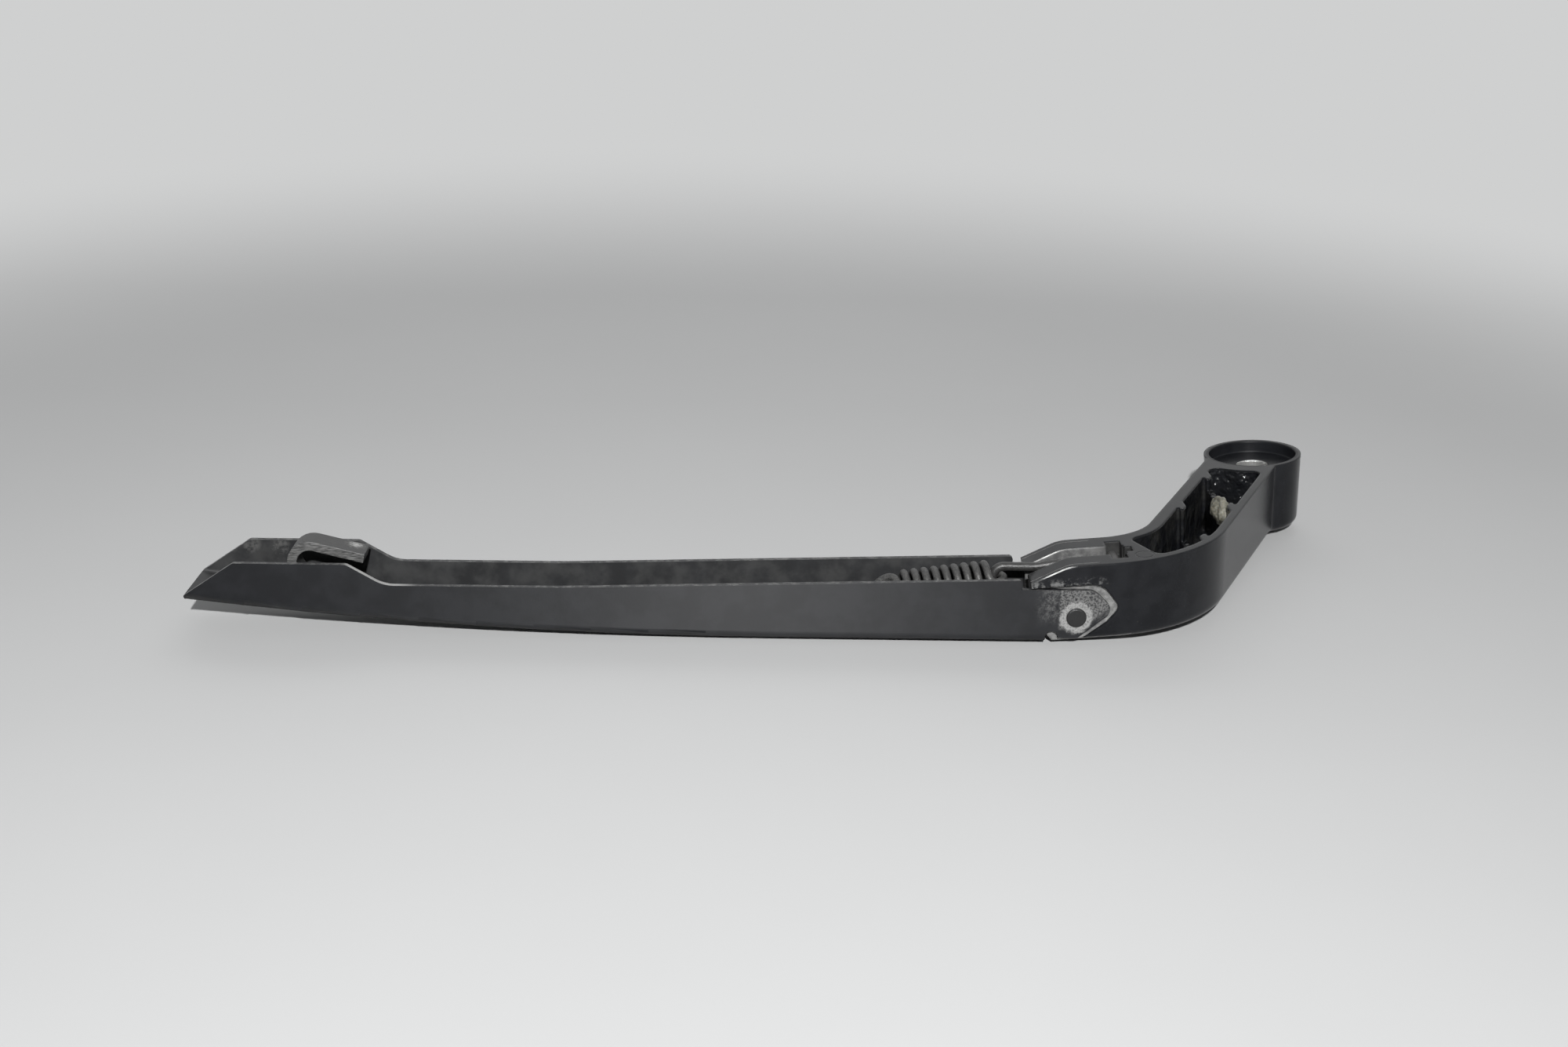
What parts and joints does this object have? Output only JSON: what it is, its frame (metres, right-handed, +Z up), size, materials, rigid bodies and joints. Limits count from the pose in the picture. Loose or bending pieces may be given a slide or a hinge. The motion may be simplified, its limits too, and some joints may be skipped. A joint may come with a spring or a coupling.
{
  "type": "wiper arm",
  "caption": "Wiper arm with a bent cast head and spindle boss, a hinged sheet-metal channel that holds a tension spring and link, and a flat blade hook at the tip",
  "frame": {"origin": "on the axis of the spindle bore, halfway along the plain land below its taper", "axes": "+X along the channel from the tip towards the hinge, +Y towards the side that the head bends to, +Z up from the channel's web towards the glass side"},
  "size_m": [0.3816, 0.1237, 0.0354],
  "materials": {
    "painted_casting": "satin black paint, worn to bare metal round the hinge",
    "painted_sheet": "satin black paint, chipped along the edges",
    "hook_steel": "worn black coating",
    "rivet_steel": "painted over, dull",
    "wire_steel": "dull, dusty",
    "spring_steel": "dull, dusty",
    "pin_steel": "dull"
  },
  "bodies": {
    "head": {"arm_head": "painted_casting", "anchor_pin": "pin_steel"},
    "retainer": {"retainer": "painted_sheet", "hook_bar": "hook_steel", "bar_rivets": "rivet_steel", "hinge_rivet": "rivet_steel"},
    "link": {"spring_link": "wire_steel"},
    "spring": {"tension_spring": "spring_steel"}
  },
  "joints": [
    {"name": "arm_lift", "type": "hinge", "parent": "head", "child": "retainer", "pos_m": [-0.08229, -0.09328, -0.0084], "axis": [0, -1, 0], "range_deg": [0, 38], "stiffness_Nm_per_rad": 0.25, "springref_deg": -148.97, "deforming": ["tension_spring"]},
    {"name": "link_swing", "type": "hinge", "parent": "head", "child": "link", "pos_m": [-0.06823, -0.09328, 0.00561], "axis": [0, -1, 0], "range_deg": [0, 31]},
    {"name": "spring_stretch", "type": "slide", "parent": "link", "child": "spring", "axis": [-0.991, 0, -0.1337], "range_m": [0, 0.0053]}
  ],
  "couplings": [
    {"joint": "link_swing", "follows": "arm_lift", "ratio": 0.7774},
    {"joint": "spring_stretch", "follows": "arm_lift", "m_per_rad": 0.007456}
  ]
}
